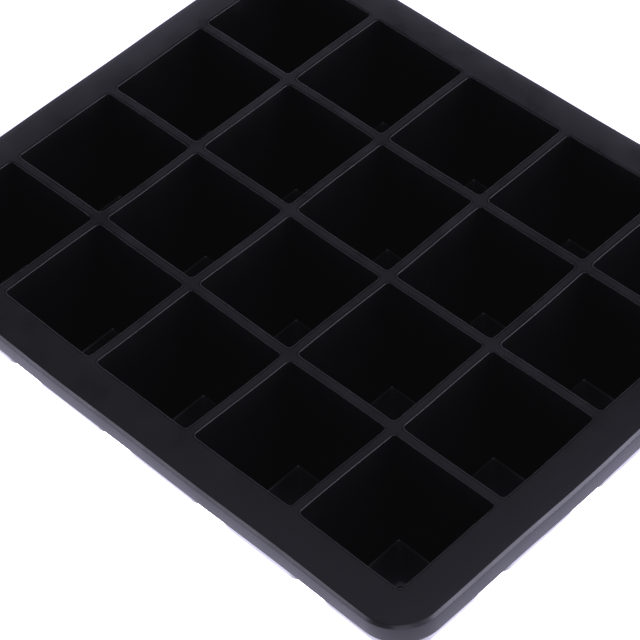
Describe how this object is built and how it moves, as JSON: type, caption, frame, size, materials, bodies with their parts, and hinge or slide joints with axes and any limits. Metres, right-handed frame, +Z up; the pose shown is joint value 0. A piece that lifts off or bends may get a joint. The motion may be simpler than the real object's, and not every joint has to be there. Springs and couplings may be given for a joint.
{
  "type": "plug tray",
  "caption": "Reusable flexible plug tray: deep tapered square cells with drain holes, hanging from a flat deck with a turned-down rim band.",
  "frame": {"origin": "under the middle of the tray, on the surface that the cups stand on", "axes": "+X along the longer side, +Y along the shorter side, +Z up out of the cells"},
  "size_m": [0.2212, 0.1812, 0.04],
  "materials": {
    "rubber": "satin moulded silicone"
  },
  "bodies": {
    "root": {"top_rim": "rubber", "rim_band": "rubber", "long_web_1": "rubber", "long_web_2": "rubber", "long_web_3": "rubber", "cross_web_1": "rubber", "cross_web_2": "rubber", "cross_web_3": "rubber", "cross_web_4": "rubber", "cup_a1": "rubber", "cup_a2": "rubber", "cup_a3": "rubber", "cup_a4": "rubber", "cup_a5": "rubber", "cup_b1": "rubber", "cup_b2": "rubber", "cup_b3": "rubber", "cup_b4": "rubber", "cup_b5": "rubber", "cup_c1": "rubber", "cup_c2": "rubber", "cup_c3": "rubber", "cup_c4": "rubber", "cup_c5": "rubber", "cup_d1": "rubber", "cup_d2": "rubber", "cup_d3": "rubber", "cup_d4": "rubber", "cup_d5": "rubber"}
  },
  "joints": []
}
